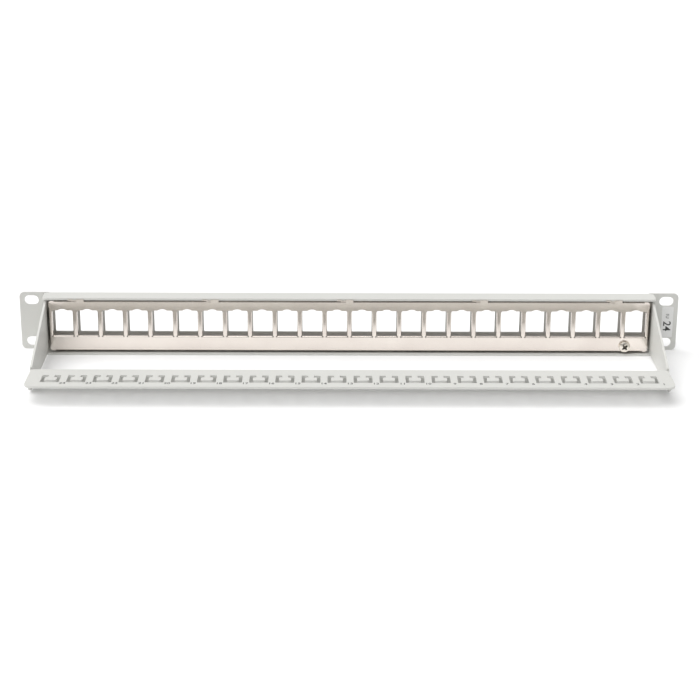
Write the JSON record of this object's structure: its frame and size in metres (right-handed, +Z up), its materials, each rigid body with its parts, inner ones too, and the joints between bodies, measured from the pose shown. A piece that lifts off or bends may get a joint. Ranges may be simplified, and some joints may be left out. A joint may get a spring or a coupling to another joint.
{
  "type": "patch panel",
  "caption": "Flat one-unit rack patch panel in folded light-grey sheet steel, with a plated keystone insert behind the port openings and a rear cable-tie bar on two arms.",
  "frame": {"origin": "centre of the four rack slots, on the rear face of the ears where they meet the rack's rails", "axes": "+X to the right seen from the front, along the panel's length, +Y to the rear, into the rack, +Z up"},
  "size_m": [0.4826, 0.1168, 0.0436],
  "materials": {
    "grey_powder_coat": "light-grey powder coat, fine texture, satin",
    "nickel_plate": "nickel-plated steel sheet, warm satin",
    "screw_zinc": "bright plated steel",
    "label_film": "matt film label, blank"
  },
  "bodies": {
    "panel": {"front_panel": "grey_powder_coat", "module_insert": "nickel_plate", "cable_support": "grey_powder_coat", "earth_nut": "screw_zinc", "ear_label": "label_film"},
    "washer": {"earth_washer": "screw_zinc"},
    "screw": {"earth_screw": "screw_zinc"}
  },
  "joints": [
    {"name": "washer_travel", "type": "slide", "parent": "panel", "child": "washer", "axis": [0, 1, 0], "range_m": [0, 0.0042]},
    {"name": "screw_turn", "type": "hinge", "parent": "washer", "child": "screw", "pos_m": [-0.2014, 0.0129, -0.0146], "axis": [0, 1, 0], "range_deg": [0, 2160]}
  ],
  "couplings": [
    {"joint": "screw_turn", "follows": "washer_travel", "rad_per_m": 8975.9}
  ]
}
